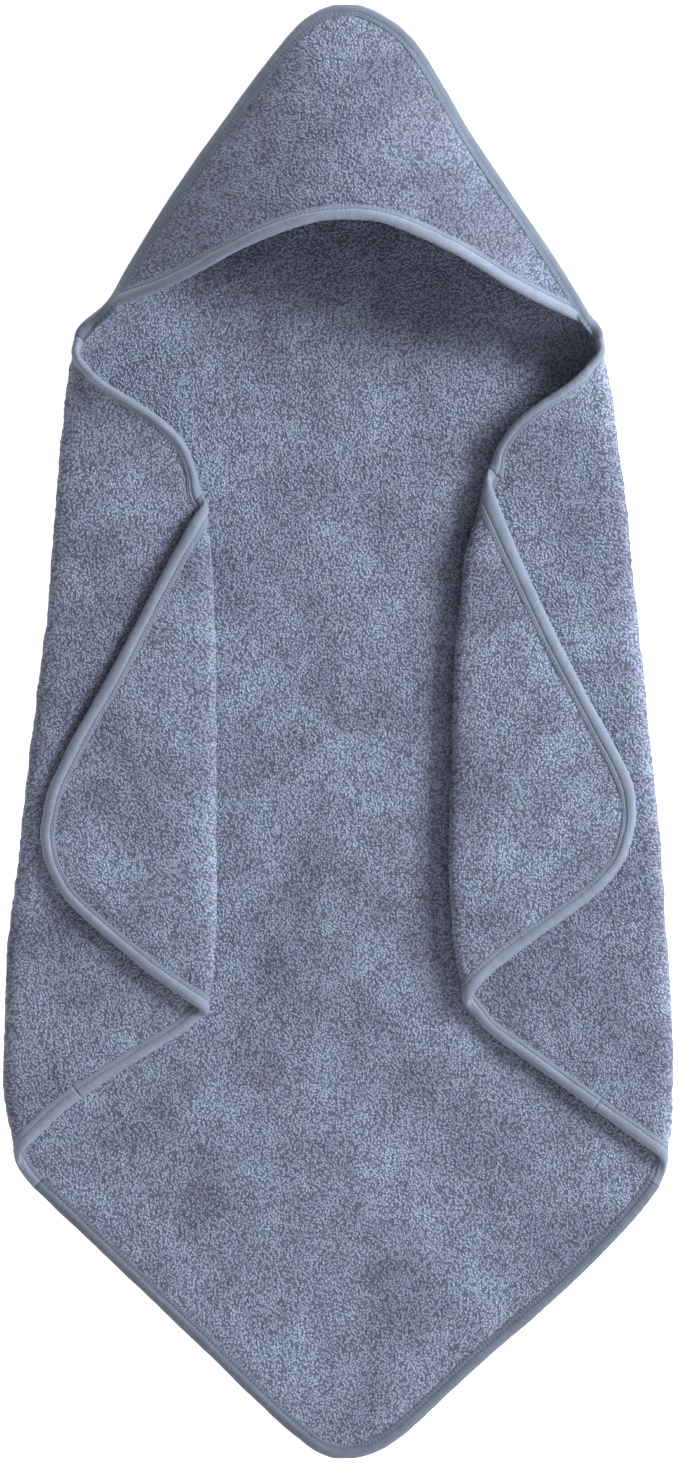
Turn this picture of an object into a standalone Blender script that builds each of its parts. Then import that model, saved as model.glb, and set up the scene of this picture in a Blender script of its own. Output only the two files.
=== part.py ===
"""Hooded baby towel, lying on its back with its two side corners folded in and then out again.

A square of terry lies as a diamond, its hood corner at +Y. Each side corner is folded over the middle along
a fold-in line, and its end is turned back outward along a fold-out line, so three layers lie on each other
there. A triangle of terry sewn over the top corner stands up as the hood. A binding runs round every edge,
and a line of topstitching lies in the groove beside it.

Metres. +Z is up and +X is to the right of the hood. The origin is at the middle of the base.
"""

import math

import bpy
import numpy as np

# The cloth
CLOTH = 0.006  # thickness of one layer of terry
PITCH = 0.0072  # height from one folded layer to the next
BAND = 0.009  # width of the binding that shows on each face
GROOVE = 0.0003  # gap between a panel and its binding
FOLD_GAP = 0.0005  # gap from a panel's edge to the fold line it turns on
CHAMFER = 0.0012  # cut off the edges of each layer
CHAMFERED_ANGLE = math.radians(60)  # edges sharper than this are chamfered
SHORTEST_EDGE = 0.0016  # in an outline, so that its corners can be chamfered
WELD_DISTANCE = 0.00001
HINGE_Z = (PITCH + CLOTH) / 2  # midway between the base layer and the one folded over it
THREAD_RADIUS = 0.0004
THREAD_LIFT = 1.5 * THREAD_RADIUS  # from the cloth's face to the middle of the thread
HOOD_THREAD_LIFT = 2 * THREAD_RADIUS  # the same, on the hood's curved layers
EMPTY_SIZE = 0.02

# Fold lines, as two points each
FOLD_IN_TOP = (0.1905, 0.250)
FOLD_IN_END = (0.2375, -0.310)
FOLD_OUT = {"left": ((-0.0885, 0.16), (-0.0885, -0.19)), "right": ((0.0970, 0.174), (0.0800, -0.19))}
FOOT_FOLD_Y = -0.340
HOOD_HINGE_Y = 0.268

# Edges of the cloth as it lies folded, seen from above. Each runs a little past the folds that end it.
NECK = {
    "left": [(-0.205, 0.268), (-0.178, 0.256), (-0.150, 0.235), (-0.119, 0.214), (-0.102, 0.190),
             (-0.0885, 0.152), (-0.080, 0.132)],
    "right": [(0.205, 0.268), (0.176, 0.257), (0.150, 0.235), (0.121, 0.215), (0.107, 0.194),
              (0.096, 0.166), (0.086, 0.140)],
}
CORNER = {
    "left": [(-0.0830, 0.1860), (-0.2306, -0.0868), (-0.0750, -0.2150)],
    "right": [(0.0880, 0.2000), (0.2245, -0.0757), (0.0700, -0.2030)],
}
CORNER_RADIUS = 0.065
HEM = {"left": [(-0.250, -0.314), (-0.060, -0.170)], "right": [(0.250, -0.3155), (0.060, -0.179)]}
FOOT = [(-0.260, -0.2710), (0.004, -0.5260), (0.260, -0.2770)]
FOOT_RADIUS = 0.052
BEYOND = 0.3  # past the cloth's sides, before the fold lines cut it

# The hood
MAIN_END_Y = 0.2745  # where the main panel stops short of the hood's back panel
HOOD_CORNERS = ((-0.180, 0.2790), (0.181, 0.2790))
HOOD_PEAK = (0.0060, 0.5500)  # where its two sides would meet if the tip were not rounded
HOOD_RADIUS = 0.055
MOUTH_PEAK_Y = 0.3550  # the middle of the hood's front edge, seen from above
MOUTH_HEIGHT = 0.090  # the middle of the hood's front edge, above the base
RIM_HEIGHT = 0.040  # the hood's lower corners, above the base
TIP_SEAM = 0.0068  # height of the seam between the two layers at the tip
TIP_CROWN = TIP_SEAM + 0.004  # height of the middle of the front layer at the tip
LAYER_TO_SEAM = 0.0035  # from the seam's height to the middle of either layer beside it
HOOD_DEPTH = 0.165  # from the front edge to the tip, along the front layer
MOUTH_GAP = 0.001  # from the front edge's binding to the front panel
BACK_START = 0.025  # where the back panel starts, as a share of the way from the lower corners to the tip
PANELS_END = 0.93  # where both panels stop short of the tip, as the same share
RIM_INSET = BAND + 0.003  # how far inside the rim the hood's two panels stop
RIM_STITCHING = 0.007  # how far inside the rim its topstitching runs
BINDING_OVER_TWO = 0.0125  # thickness of the binding where it covers both layers
SEAM_FALL, CROWN_FALL = 1.3, 1.15  # powers by which the seam and the crown fall towards the tip
ARCH, BOWL = 2.3, 4  # powers of the curves across the front and back layers
HOOD_ROWS = 9
HOOD_COLUMNS = 14
RIM_POINTS = 25
RIM_SAMPLES = 40  # on each half of the rim

TERRY = (0.226, 0.256, 0.342)
TERRY_HOOD = (0.240, 0.268, 0.350)
TAPE = (0.262, 0.323, 0.392)
YARN = (0.180, 0.215, 0.290)


def clear_scene():
    for obj in list(bpy.data.objects):
        bpy.data.objects.remove(obj, do_unlink=True)


def material(name, colour, roughness):
    made = bpy.data.materials.new(name)
    made.use_nodes = True
    shader = made.node_tree.nodes["Principled BSDF"]
    shader.inputs["Base Color"].default_value = (*colour, 1)
    shader.inputs["Roughness"].default_value = roughness
    shader.inputs["Metallic"].default_value = 0
    return made


# Outlines in the plane


def fillet(points, radius, steps=7):
    """The three-point path with its middle corner rounded to an arc."""
    start, corner, end = (np.array(p, float) for p in points)
    to_start, to_end = start - corner, end - corner
    to_start /= np.linalg.norm(to_start)
    to_end /= np.linalg.norm(to_end)
    half = math.acos(float(to_start @ to_end)) / 2
    middle = to_start + to_end
    centre = corner + middle / np.linalg.norm(middle) * radius / math.sin(half)
    first = corner + to_start * radius / math.tan(half) - centre
    last = corner + to_end * radius / math.tan(half) - centre
    turn = math.pi - 2 * half
    arc = [
        centre + (first * math.sin((1 - t) * turn) + last * math.sin(t * turn)) / math.sin(turn)
        for t in np.linspace(0, 1, steps)
    ]
    return np.array([start, *arc, end])


def smooth(points, steps=3):
    """A Catmull-Rom curve through the points."""
    p = np.array(points, float)
    p = np.vstack([2 * p[0] - p[1], p, 2 * p[-1] - p[-2]])
    curve = [
        0.5 * (2 * b + (c - a) * t + (2 * a - 5 * b + 4 * c - d) * t**2 + (3 * b - a - 3 * c + d) * t**3)
        for a, b, c, d in zip(p, p[1:], p[2:], p[3:])
        for t in np.arange(steps) / steps
    ]
    return np.array([*curve, p[-2]])


def resample(path, count):
    """The path as that many points at equal distances."""
    path = np.array(path, float)
    along = np.concatenate([[0], np.cumsum(np.linalg.norm(np.diff(path, axis=0), axis=1))])
    stops = np.linspace(0, along[-1], count)
    return np.stack([np.interp(stops, along, path[:, k]) for k in range(path.shape[1])], axis=1)


def shifted(path, distance):
    """The path moved sideways, to its left for a distance above 0."""
    along = np.gradient(path, axis=0)
    along /= np.linalg.norm(along, axis=1)[:, None]
    return path + distance * np.stack([-along[:, 1], along[:, 0]], axis=1)


def clip(points, line, keep, closed=True):
    """The part of an outline, or of a path, that lies on the same side of the line as the point keep."""
    a, b = (np.array(p, float) for p in line)
    normal = np.array([a[1] - b[1], b[0] - a[0]])
    normal /= np.linalg.norm(normal)
    if (np.array(keep) - a) @ normal < 0:
        normal = -normal
    heights = (np.array(points) - a) @ normal - FOLD_GAP
    kept = []
    for i, (p, h) in enumerate(zip(points, heights)):
        q, g = points[i - 1], heights[i - 1]
        if (h > 0) != (g > 0) and (closed or i > 0):
            kept.append(q + (p - q) * g / (g - h))
        if h > 0:
            kept.append(p)
    return np.array(kept)


def strip_between(path, near, far):
    """The outline of the strip from near to far to the left of the path."""
    return np.vstack([shifted(path, near), shifted(path, far)[::-1]])


# Solids


def finish(obj, group, surface):
    group.objects.link(obj)
    obj.data.materials.append(surface)
    return obj


def without_near_points(outline):
    """The outline without the points that a clip left almost on top of another."""
    kept = [outline[0]]
    for point in outline[1:]:
        if np.linalg.norm(point - kept[-1]) > SHORTEST_EDGE:
            kept.append(point)
    if np.linalg.norm(kept[-1] - kept[0]) < SHORTEST_EDGE:
        kept.pop()
    return kept


def slab(name, outline, layer, group, surface):
    """A layer of cloth with that outline and softened edges."""
    curve = bpy.data.curves.new(name, "CURVE")
    curve.dimensions = "2D"
    curve.fill_mode = "BOTH"
    curve.extrude = CLOTH / 2
    outline = without_near_points(outline)
    spline = curve.splines.new("POLY")
    spline.points.add(len(outline) - 1)
    for point, (x, y) in zip(spline.points, outline):
        point.co = (x, y, 0, 1)
    spline.use_cyclic_u = True
    obj = finish(bpy.data.objects.new(name, curve), group, surface)
    obj.location.z = layer * PITCH + CLOTH / 2
    weld = obj.modifiers.new("Weld", "WELD")
    weld.merge_threshold = WELD_DISTANCE
    bevel = obj.modifiers.new("Soft edges", "BEVEL")
    bevel.width = CHAMFER
    bevel.segments = 1
    bevel.limit_method = "ANGLE"
    bevel.angle_limit = CHAMFERED_ANGLE
    return obj


def thread(name, path, group, surface):
    """A line of topstitching along a path in space."""
    curve = bpy.data.curves.new(name, "CURVE")
    curve.dimensions = "3D"
    curve.bevel_depth = THREAD_RADIUS
    curve.bevel_resolution = 1
    curve.use_fill_caps = True
    spline = curve.splines.new("POLY")
    spline.points.add(len(path) - 1)
    for point, co in zip(spline.points, path):
        point.co = (*co, 1)
    return finish(bpy.data.objects.new(name, curve), group, surface)


def sheet(name, rows, thickness, group, surface):
    """A layer of cloth lofted through rows of points, with its faces up."""
    rows = np.array(rows, float)
    count, width, _ = rows.shape
    corners = np.arange(count * width).reshape(count, width)
    faces = [
        (corners[i, j], corners[i, j + 1], corners[i + 1, j + 1], corners[i + 1, j])
        for i in range(count - 1)
        for j in range(width - 1)
    ]
    mesh = bpy.data.meshes.new(name)
    mesh.from_pydata(rows.reshape(-1, 3).tolist(), [], [tuple(map(int, face)) for face in faces])
    mesh.shade_smooth()
    obj = finish(bpy.data.objects.new(name, mesh), group, surface)
    shell = obj.modifiers.new("Thickness", "SOLIDIFY")
    shell.thickness = thickness
    shell.offset = 0
    return obj


def hinge_on(empty_name, place, objects):
    """An empty on a joint's axis that carries the objects which turn on it."""
    empty = bpy.data.objects.new(empty_name, None)
    empty.empty_display_size = EMPTY_SIZE
    empty.location = place
    bpy.context.scene.collection.objects.link(empty)
    for obj in objects:
        obj.parent = empty
        obj.matrix_parent_inverse.translation = [-p for p in place]
    return empty


# The towel

MIDDLE = (0, 0)


def sign_of(side):
    return -1 if side == "left" else 1


def fold_in(side):
    return [(sign_of(side) * x, y) for x, y in (FOLD_IN_TOP, FOLD_IN_END)]


def across(y):
    """The line across the towel at that y."""
    return [(0, y), (1, y)]


def within(points, lines, closed=True):
    """The part of the points on the named side of every line."""
    for line, keep in lines:
        points = clip(points, line, keep, closed)
    return points


def edge(path, turn, layer, name, lines, group, tape, yarn):
    """The binding along a path, whose cloth is to the left for turn 1, and the topstitching beside it."""
    strip = within(strip_between(path, 0, turn * BAND), lines)
    binding = slab(f"{name}_binding", strip, layer, group, tape)
    seam = within(shifted(path, turn * (BAND + GROOVE / 2)), lines, closed=False)
    height = layer * PITCH + CLOTH + THREAD_LIFT
    stitches = thread(f"{name}_stitching", [(x, y, height) for x, y in seam], group, yarn)
    return [binding, stitches]


def side(which, group, terry, tape, yarn):
    """The two folded layers of one side: the side panel, and the corner turned back over it."""
    sign = sign_of(which)
    inset = BAND + GROOVE
    beyond_fold_out = (FOLD_OUT[which], (sign, 0))
    both_folds = [(fold_in(which), MIDDLE), beyond_fold_out]
    neck, hem = smooth(NECK[which]), resample(HEM[which], 3)
    outline = np.vstack([shifted(neck, sign * inset), shifted(hem, -sign * inset)[::-1]])
    parts = [slab(f"{which}_side_panel", within(outline, both_folds), 1, group, terry)]
    parts += edge(neck, sign, 1, f"{which}_neck", both_folds, group, tape, yarn)
    parts += edge(hem, -sign, 1, f"{which}_hem", both_folds, group, tape, yarn)
    x, y = fold_in(which)[0]
    hinge_on(f"{which}_side_fold", (x, y, HINGE_Z), parts)

    corner = fillet(CORNER[which], CORNER_RADIUS)
    outline = within(shifted(corner, -sign * inset), [beyond_fold_out])
    parts = [slab(f"{which}_corner_panel", outline, 2, group, terry)]
    parts += edge(corner, -sign, 2, f"{which}_corner", [beyond_fold_out], group, tape, yarn)
    x, y = FOLD_OUT[which][0]
    hinge_on(f"{which}_corner_fold", (x, y, HINGE_Z + PITCH), parts)


def base(group, terry, tape, yarn):
    """The layer that lies on the floor, from the hood to the foot corner, which folds up."""
    foot = fillet(FOOT, FOOT_RADIUS)
    folds = [(fold_in("left"), MIDDLE), (fold_in("right"), MIDDLE)]
    above, below = (across(FOOT_FOLD_Y), MIDDLE), (across(FOOT_FOLD_Y), (0, -1))
    under_hood = (across(MAIN_END_Y), MIDDLE)
    whole = np.vstack([shifted(foot, BAND + GROOVE), [(BEYOND, BEYOND), (-BEYOND, BEYOND)]])
    slab("main_panel", within(whole, [*folds, above, under_hood]), 0, group, terry)
    for which in ("left", "right"):
        own_half = (((0, 0), (0, 1)), (sign_of(which), 0))
        strip = within(strip_between(foot, 0, BAND), [own_half, *folds, above])
        slab(f"{which}_waist_binding", strip, 0, group, tape)
    parts = [slab("foot_corner_panel", within(whole, [*folds, below]), 0, group, terry)]
    parts += edge(foot, 1, 0, "foot_corner", [*folds, below], group, tape, yarn)
    hinge_on("foot_fold", (0, FOOT_FOLD_Y, HINGE_Z), parts)


# The hood


def rim_halves(inset):
    """The hood's two sides from its lower corners to its tip, as equally spaced points."""
    rim = shifted(fillet([HOOD_CORNERS[0], HOOD_PEAK, HOOD_CORNERS[1]], HOOD_RADIUS, 15), -inset)
    rim = resample(rim, 2 * RIM_SAMPLES + 1)
    left, right = rim[: RIM_SAMPLES + 1], rim[RIM_SAMPLES:][::-1]
    return resample(left, HOOD_ROWS + 1), resample(right, HOOD_ROWS + 1)


PANEL_LEFT, PANEL_RIGHT = rim_halves(RIM_INSET)
PANEL_TIP_Y = PANEL_LEFT[-1][1]


def seam_height(t):
    """Height of the seam between the hood's two layers, from its lower corners at 0 to its tip at 1."""
    return TIP_SEAM + (RIM_HEIGHT - TIP_SEAM) * (1 - t) ** SEAM_FALL


def crown_height(t):
    """Height of the middle of the hood's front layer, from its front edge at 0 to its tip at 1."""
    return TIP_CROWN + (MOUTH_HEIGHT - TIP_CROWN) * (1 - t) ** CROWN_FALL


def bow(u):
    """How far the hood's front edge is drawn back towards the tip, 1 in the middle and 0 at the corners."""
    return (1 - u**2 + (1 + math.cos(math.pi * u)) / 2) / 2


def front_point(left, right, t, u):
    """A point of the hood's front layer: t from the front edge to the tip, u from -1 at the left to 1."""
    x, y = (left + right) / 2 + u * (right - left) / 2
    spine_y = MOUTH_PEAK_Y + t * (PANEL_TIP_Y - MOUTH_PEAK_Y)
    y += (spine_y - (left[1] + right[1]) / 2) * bow(u)
    low, high = seam_height(t) + LAYER_TO_SEAM, crown_height(t)
    return x, y, low + (high - low) * (1 - abs(u) ** ARCH)


def back_point(left, right, t, u):
    """A point of the hood's back layer, which lies on the floor in the middle and rises to the seam."""
    x, y = (left + right) / 2 + u * (right - left) / 2
    low, high = CLOTH / 2, seam_height(t) - LAYER_TO_SEAM
    return x, y, low + (high - low) * abs(u) ** BOWL


def hood_rows(point, stations):
    """Rows of a layer's points, each across the hood at a share of the way to its tip."""
    marks = np.linspace(0, 1, len(PANEL_LEFT))
    rows = []
    for t in stations:
        ends = [
            np.array([np.interp(t, marks, half[:, k]) for k in range(2)])
            for half in (PANEL_LEFT, PANEL_RIGHT)
        ]
        rows.append([point(*ends, t, u) for u in np.linspace(-1, 1, HOOD_COLUMNS + 1)])
    return rows


def above_front(t, height, step=0.01):
    """A line across the hood's front layer, that far off its middle surface."""
    before, row, after = (np.array(r) for r in hood_rows(front_point, [t - step, t, t + step]))
    normal = np.cross(np.gradient(row, axis=0), after - before)
    return row + height * normal / np.linalg.norm(normal, axis=1)[:, None]


def rim_path(inset):
    """A line at that distance inside the hood's rim, at the seam's height."""
    left, right = rim_halves(inset)
    ends = np.linspace(0, 1, len(left))
    whole = np.vstack([np.column_stack([left, ends]), np.column_stack([right, ends])[::-1][1:]])
    return [(x, y, seam_height(t)) for x, y, t in resample(whole, RIM_POINTS)]


def hood(group, terry, tape, yarn):
    band, gap = BAND / HOOD_DEPTH, MOUTH_GAP / HOOD_DEPTH
    back = hood_rows(back_point, np.linspace(BACK_START, PANELS_END, HOOD_ROWS))
    front = hood_rows(front_point, np.linspace(band + gap, PANELS_END, HOOD_ROWS))
    mouth_seam = above_front(band + gap / 2, CLOTH / 2 + HOOD_THREAD_LIFT)[1:-1]
    rim_seam = [(x, y, z + BINDING_OVER_TWO / 2 + HOOD_THREAD_LIFT) for x, y, z in rim_path(RIM_STITCHING)]
    parts = [
        sheet("hood_back_panel", back, CLOTH, group, terry),
        sheet("hood_front_panel", front, CLOTH, group, terry),
        sheet("hood_mouth_binding", hood_rows(front_point, [0, band]), CLOTH, group, tape),
        sheet("hood_rim_binding", [rim_path(BAND), rim_path(0)], BINDING_OVER_TWO, group, tape),
        thread("hood_mouth_stitching", mouth_seam, group, yarn),
        thread("hood_rim_stitching", rim_seam, group, yarn),
    ]
    hinge_on("hood_tilt", (0, HOOD_HINGE_Y, HINGE_Z), parts)


def main():
    clear_scene()
    group = bpy.data.collections.new("hooded_baby_towel")
    bpy.context.scene.collection.children.link(group)
    terry = material("terry", TERRY, 0.95)
    hood_terry = material("hood_terry", TERRY_HOOD, 0.95)
    tape = material("binding_tape", TAPE, 0.7)
    yarn = material("sewing_thread", YARN, 0.6)
    base(group, terry, tape, yarn)
    for which in ("left", "right"):
        side(which, group, terry, tape, yarn)
    hood(group, hood_terry, tape, yarn)


main()
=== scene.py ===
"""The looks of a hooded baby towel: terry folded in and out again at its sides, bound all round.

The cloth is one sheet in pattern space: s runs along the cloth from the middle line outward, and y along the
towel. Each row of constant y is bent through the side folds, so that the base, the folded-in strip and the
turned-out corner are one surface, which is then cut into pieces that each cross at most one joint.
"""

import math

import bpy
import numpy as np
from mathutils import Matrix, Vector, kdtree


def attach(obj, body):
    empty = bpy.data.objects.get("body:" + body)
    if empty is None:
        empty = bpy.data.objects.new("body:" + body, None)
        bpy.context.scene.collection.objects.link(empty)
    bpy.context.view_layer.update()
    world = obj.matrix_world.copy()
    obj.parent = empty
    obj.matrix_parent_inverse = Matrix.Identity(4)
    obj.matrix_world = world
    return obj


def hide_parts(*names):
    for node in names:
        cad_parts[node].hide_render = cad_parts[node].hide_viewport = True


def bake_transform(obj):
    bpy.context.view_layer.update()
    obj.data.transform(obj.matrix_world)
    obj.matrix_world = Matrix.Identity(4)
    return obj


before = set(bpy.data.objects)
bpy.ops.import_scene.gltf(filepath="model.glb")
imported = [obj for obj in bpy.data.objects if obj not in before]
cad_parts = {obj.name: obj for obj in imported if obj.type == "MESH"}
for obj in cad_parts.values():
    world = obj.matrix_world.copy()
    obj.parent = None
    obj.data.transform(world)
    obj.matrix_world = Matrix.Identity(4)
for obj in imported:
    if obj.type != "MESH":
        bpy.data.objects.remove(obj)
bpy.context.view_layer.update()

# Camera, straight above the towel
CAMERA_HEIGHT = 3.5
VIEW_HEIGHT = 1464 / 1440  # metres of floor that the picture's height covers
VIEW_CENTRE = (-0.0003, -0.0007)
SENSOR = 36
FARTHEST = 200

FLOOR_REACH, FLOOR_Z = 40, -0.0008
WALL_HEIGHT = 8  # of the pale backdrop round the floor, which low views look at
WORLD_LIGHT = (0.1, 0.88)  # strength of the soft light from the left and from the right

# Grid of the cloth
STEP = 0.0025
LAST_STEP = 0.35 * STEP  # the shortest step that is left before the edge
ROW_LOW, ROW_HIGH = -0.5035, 0.503
REACH = 0.6  # how far from the middle line the pattern is worked out

# Heights and thicknesses
BASE_Z = 0.0031  # middle of the cloth where it lies on the floor
HALF = 0.0025  # half the thickness of loose terry
HALF_BOUND = 0.0016  # half the thickness where a binding presses it
PLIES = 0.005  # from the hood's back layer to its front layer in their seam
LIP_Z = 0.0885  # middle of the hood's front edge

# Cuts between pieces, in pattern space
SIDE_CUT = 0.15
CORNER_CUT = 0.285
HOOD_CUT = 0.2736
FOOT_CUT = -0.322
NECK_TWIST = (0.205, 0.266)  # where an opened side twists up to meet the hood

# The frame's fold axes: y at both ends, distance from the middle line there, and height
FOLD_IN_AXIS = ((-0.31, 0.25), (0.2375, 0.1905), 0.0066)
FOLD_OUT_AXIS = {
    "left": ((-0.19, 0.16), (0.0885, 0.0885), 0.0138),
    "right": ((-0.19, 0.174), (0.08, 0.097), 0.0138),
}

# Where the cloth's edge passes round the folds, as (from, to) in y
ROUND_FOLD_OUT_TOP = {"left": (0.163, 0.151), "right": (0.181, 0.168)}
ROUND_FOLD_OUT_END = {"left": (-0.188, -0.197), "right": (-0.185, -0.194)}
ROUND_FOLD_IN_END = {"left": (-0.299, -0.312), "right": (-0.302, -0.315)}

# Outlines of the folded towel, as (distance from the middle line, y) in millimetres
FOLD_IN = {
    "left": [(184, 268), (188.5, 253), (191, 237), (197, 174), (204, 81), (216, -12.5), (223, -78),
             (232, -152), (234.7, -246), (227.5, -293), (224.5, -310.4)],
    "right": [(184.7, 258), (190.5, 230), (194.4, 197), (198, 174), (203.5, 119), (208.3, 73.6),
              (223.6, -78), (228.5, -152), (232.6, -218), (231.3, -272), (229, -296.5), (227.1, -311)],
}
NECK = {
    "left": [(179, 273.6), (178, 254.9), (161, 241), (139, 228), (119, 214.6), (105.6, 200.7), (98, 180.6),
             (95, 164), (94, 150)],
    "right": [(179.9, 275), (173, 255), (154, 238), (134, 226.4), (119, 214.6), (107, 197), (102.8, 180.6),
              (102, 165)],
}
CORNER = {
    "left": [(96, 160), (122, 114), (143, 73.6), (163, 35.4), (185, -2), (203.5, -40), (209.7, -71),
             (205.6, -93), (193, -116), (171, -136), (135, -166.7), (102, -189.6), (90, -198.5)],
    "right": [(103, 178), (112, 154), (131, 109), (156, 55.6), (176, 18), (197, -20), (205.6, -40),
              (207, -63), (199, -91), (182, -111), (151, -134), (126, -151), (103.5, -169), (87, -189)],
}
FOLD_OUT = {
    "left": [(91, 170), (90.5, 149), (87.5, 111), (85.4, 60), (84.7, -53), (84.7, -128.5), (87.5, -179),
             (91, -193)],
    "right": [(100.7, 190), (100, 174), (86.1, 123.6), (78.5, 60), (77.1, -2), (75, -53), (74.3, -91),
              (77.1, -141), (82.5, -174), (86, -190)],
}
HEM = {
    "left": [(93, -195), (103.5, -206), (145.8, -232), (191, -263), (218, -290), (226, -300)],
    "right": [(86, -188), (98, -206), (139.6, -236), (185, -269), (224, -296.5), (228.5, -305.6)],
}
FOOT = [(-223.5, -307.5), (-191, -338), (-145, -382), (-100.7, -424), (-55.6, -468), (-32, -489),
        (-13.9, -502), (4, -506), (25.7, -500.7), (49.3, -484.7), (94.4, -442.4), (155, -389.6),
        (200, -344.4), (227.5, -310)]
RIM = [(186.5, 254), (184.7, 260), (175.7, 285.4), (154.9, 321.5), (130.6, 357.6), (94.4, 411),
       (58.3, 471.5), (34.7, 495), (6, 506), (-20, 498), (-43.7, 474.3), (-86.1, 417.4), (-116, 375),
       (-145.8, 327), (-161, 300), (-175.7, 285.4), (-183, 270), (-187, 260)]
MOUTH = [(-190, 279), (-161, 292), (-116, 309), (-64.6, 336), (-25.7, 351), (4.2, 355), (34.7, 351),
         (80, 330.6), (125, 303.5), (173, 280.6), (195, 273)]
MOUTH_ENDS = (-0.17, 0.176)

# From the outline that is seen to the middle of the cloth, outward
FOLD_IN_SHIFT, FOLD_OUT_SHIFT = -0.0031, 0.0031
BOUND_SHIFT, CORNER_SHIFT = 0.0026, -0.0024  # where a binding wraps the cloth's edge

# How the side folds change along the towel, as (y, size) in millimetres
UNDER_REACH = [(300, 45), (250, 34), (200, 20), (150, 10), (100, 6), (-330, 6)]
BEND_Z = [(280, 37), (270, 34), (255, 27), (240, 20), (220, 15.5), (200, 12.5), (160, 9.5), (100, 8),
          (0, 7.4), (-300, 7)]
OVER_REACH = [(260, 8), (220, 13), (150, 13), (50, 11), (-300, 10)]
OVER_Z = [(280, 38.5), (270, 40), (255, 37), (240, 30), (220, 23.5), (200, 19.5), (180, 16), (160, 13.6),
          (120, 12.4), (50, 12), (-300, 11.2)]
EDGE_Z = [(280, 39), (270, 42), (255, 42), (240, 39), (220, 32.5), (200, 21), (185, 13.8), (170, 12),
          (150, 11.2), (100, 10.8), (-300, 10.6)]
ROLL_RISE = [(200, 9), (100, 8.5), (0, 8), (-120, 8), (-200, 8.5)]
ROLL_UNDER, ROLL_OVER = 0.005, 0.015
PART_POINTS = 60
FLAP_REACH = 0.34  # where the turned-out corner's row ends, past the widest corner
STRIP_BOW = 0.35  # how much sooner than evenly the strip comes down

# The hood
FLAT_BELOW, BOWL_ABOVE = 0.25, 0.3  # the back layer passes from folded rows to a bowl between these rows
BOWL_EDGE = 0.288  # from here up the bowl's own end is the cloth's edge
BOWL_POWER = 4
RIM_LOW, RIM_RUN = 0.279, 0.227  # where the rim starts to come down to the floor, and over what length
RIM_JOIN = 0.36  # up to here a side's outlines run on into the rim's
RIM_LEAST, RIM_LIFT, RIM_POWER = 0.0036, 0.0334, 1.3
LIP_POWER, FALL_POWER = 2.3, 1.18
CORNER_GAP = 0.009  # at each end of the front layer, where the two bindings meet

# Rows whose edge the foot's and the hood's outlines give
FOOT_ROWS, HOOD_ROWS = -0.49, 0.485
CORNER_END, HEM_END = -0.19, -0.316  # below these the corner's and the hem's bindings end
TIP_HALF = 0.05  # the outline is softened this near the middle line
NARROWER = 0.28  # by how much of its width the neck's binding is drawn in
OUTLINE_STEP = 0.0015
FINE_STEP = 0.0008

# The binding's section in millimetres: how far in from the cloth's edge, and how far off its middle
UPPER_LEG = [(8.1, 1.1), (8.0, 1.9), (7.6, 2.3), (7.1, 2.0), (6.7, 2.15), (6.2, 2.5), (5.7, 2.3), (5.2, 1.95),
             (4.8, 2.3), (4.2, 2.75), (3.2, 3.0), (2.1, 3.05), (1.0, 2.85), (0.0, 2.4), (-0.9, 1.75),
             (-1.5, 1.0), (-1.8, 0.3)]
GROOVES = (5.3, 7.1)
BINDING_STEP = 0.002
STITCH_PITCH = 0.0029
BACK_SHIFT = (0.013, 0.007, 0.5)  # from the front's texture to the back's, in pattern space
FRONT_SHIFT = (0.9, 0.3)  # from the sheet's texture to the hood's front layer's


# Curves and noise


def smoothstep(x, low, high):
    t = np.clip((x - low) / (high - low), 0, 1)
    return t * t * (3 - 2 * t)


TABLE_STEP = 0.001
TABLE_Y = np.arange(-0.540, 0.5401, TABLE_STEP)


def soften(values, width):
    count = int(3 * width / TABLE_STEP)
    kernel = np.exp(-0.5 * (np.arange(-count, count + 1) * TABLE_STEP / width) ** 2)
    return np.convolve(np.pad(values, count, "edge"), kernel / kernel.sum(), "valid")


def metres(points):
    return [(a / 1000, b / 1000) for a, b in points]


def graph(points, width=0.006):
    """A softened curve through (y, value) pairs, as a function of y."""
    p = np.array(sorted(points))
    values = soften(np.interp(TABLE_Y, p[:, 0], p[:, 1]), width)
    return lambda y: np.interp(y, TABLE_Y, values)


def spline(points, steps=14):
    """A Catmull-Rom curve through the points."""
    p = np.array(points, float)
    p = np.vstack([2 * p[0] - p[1], p, 2 * p[-1] - p[-2]])
    t = np.arange(steps)[:, None] / steps
    curve = [
        0.5 * (2 * b + (c - a) * t + (2 * a - 5 * b + 4 * c - d) * t**2 + (3 * b - a - 3 * c + d) * t**3)
        for a, b, c, d in zip(p, p[1:], p[2:], p[3:])
    ]
    return np.vstack([*curve, p[-2:-1]])


def unit(v):
    return v / np.maximum(np.linalg.norm(v, axis=-1, keepdims=True), 1e-12)


def leftward(along):
    """Plane directions turned a quarter to the left."""
    return np.column_stack([-along[:, 1], along[:, 0]])


def to_left(points, distance):
    """The plane curve moved sideways to its left."""
    return points + distance * leftward(unit(np.gradient(points, axis=0)))


def squares(u, v, size):
    """Places counted in squares of that size, and the square that each is in."""
    u, v = np.asarray(u) / size, np.asarray(v) / size
    return u, v, np.floor(u).astype(int), np.floor(v).astype(int)


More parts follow.
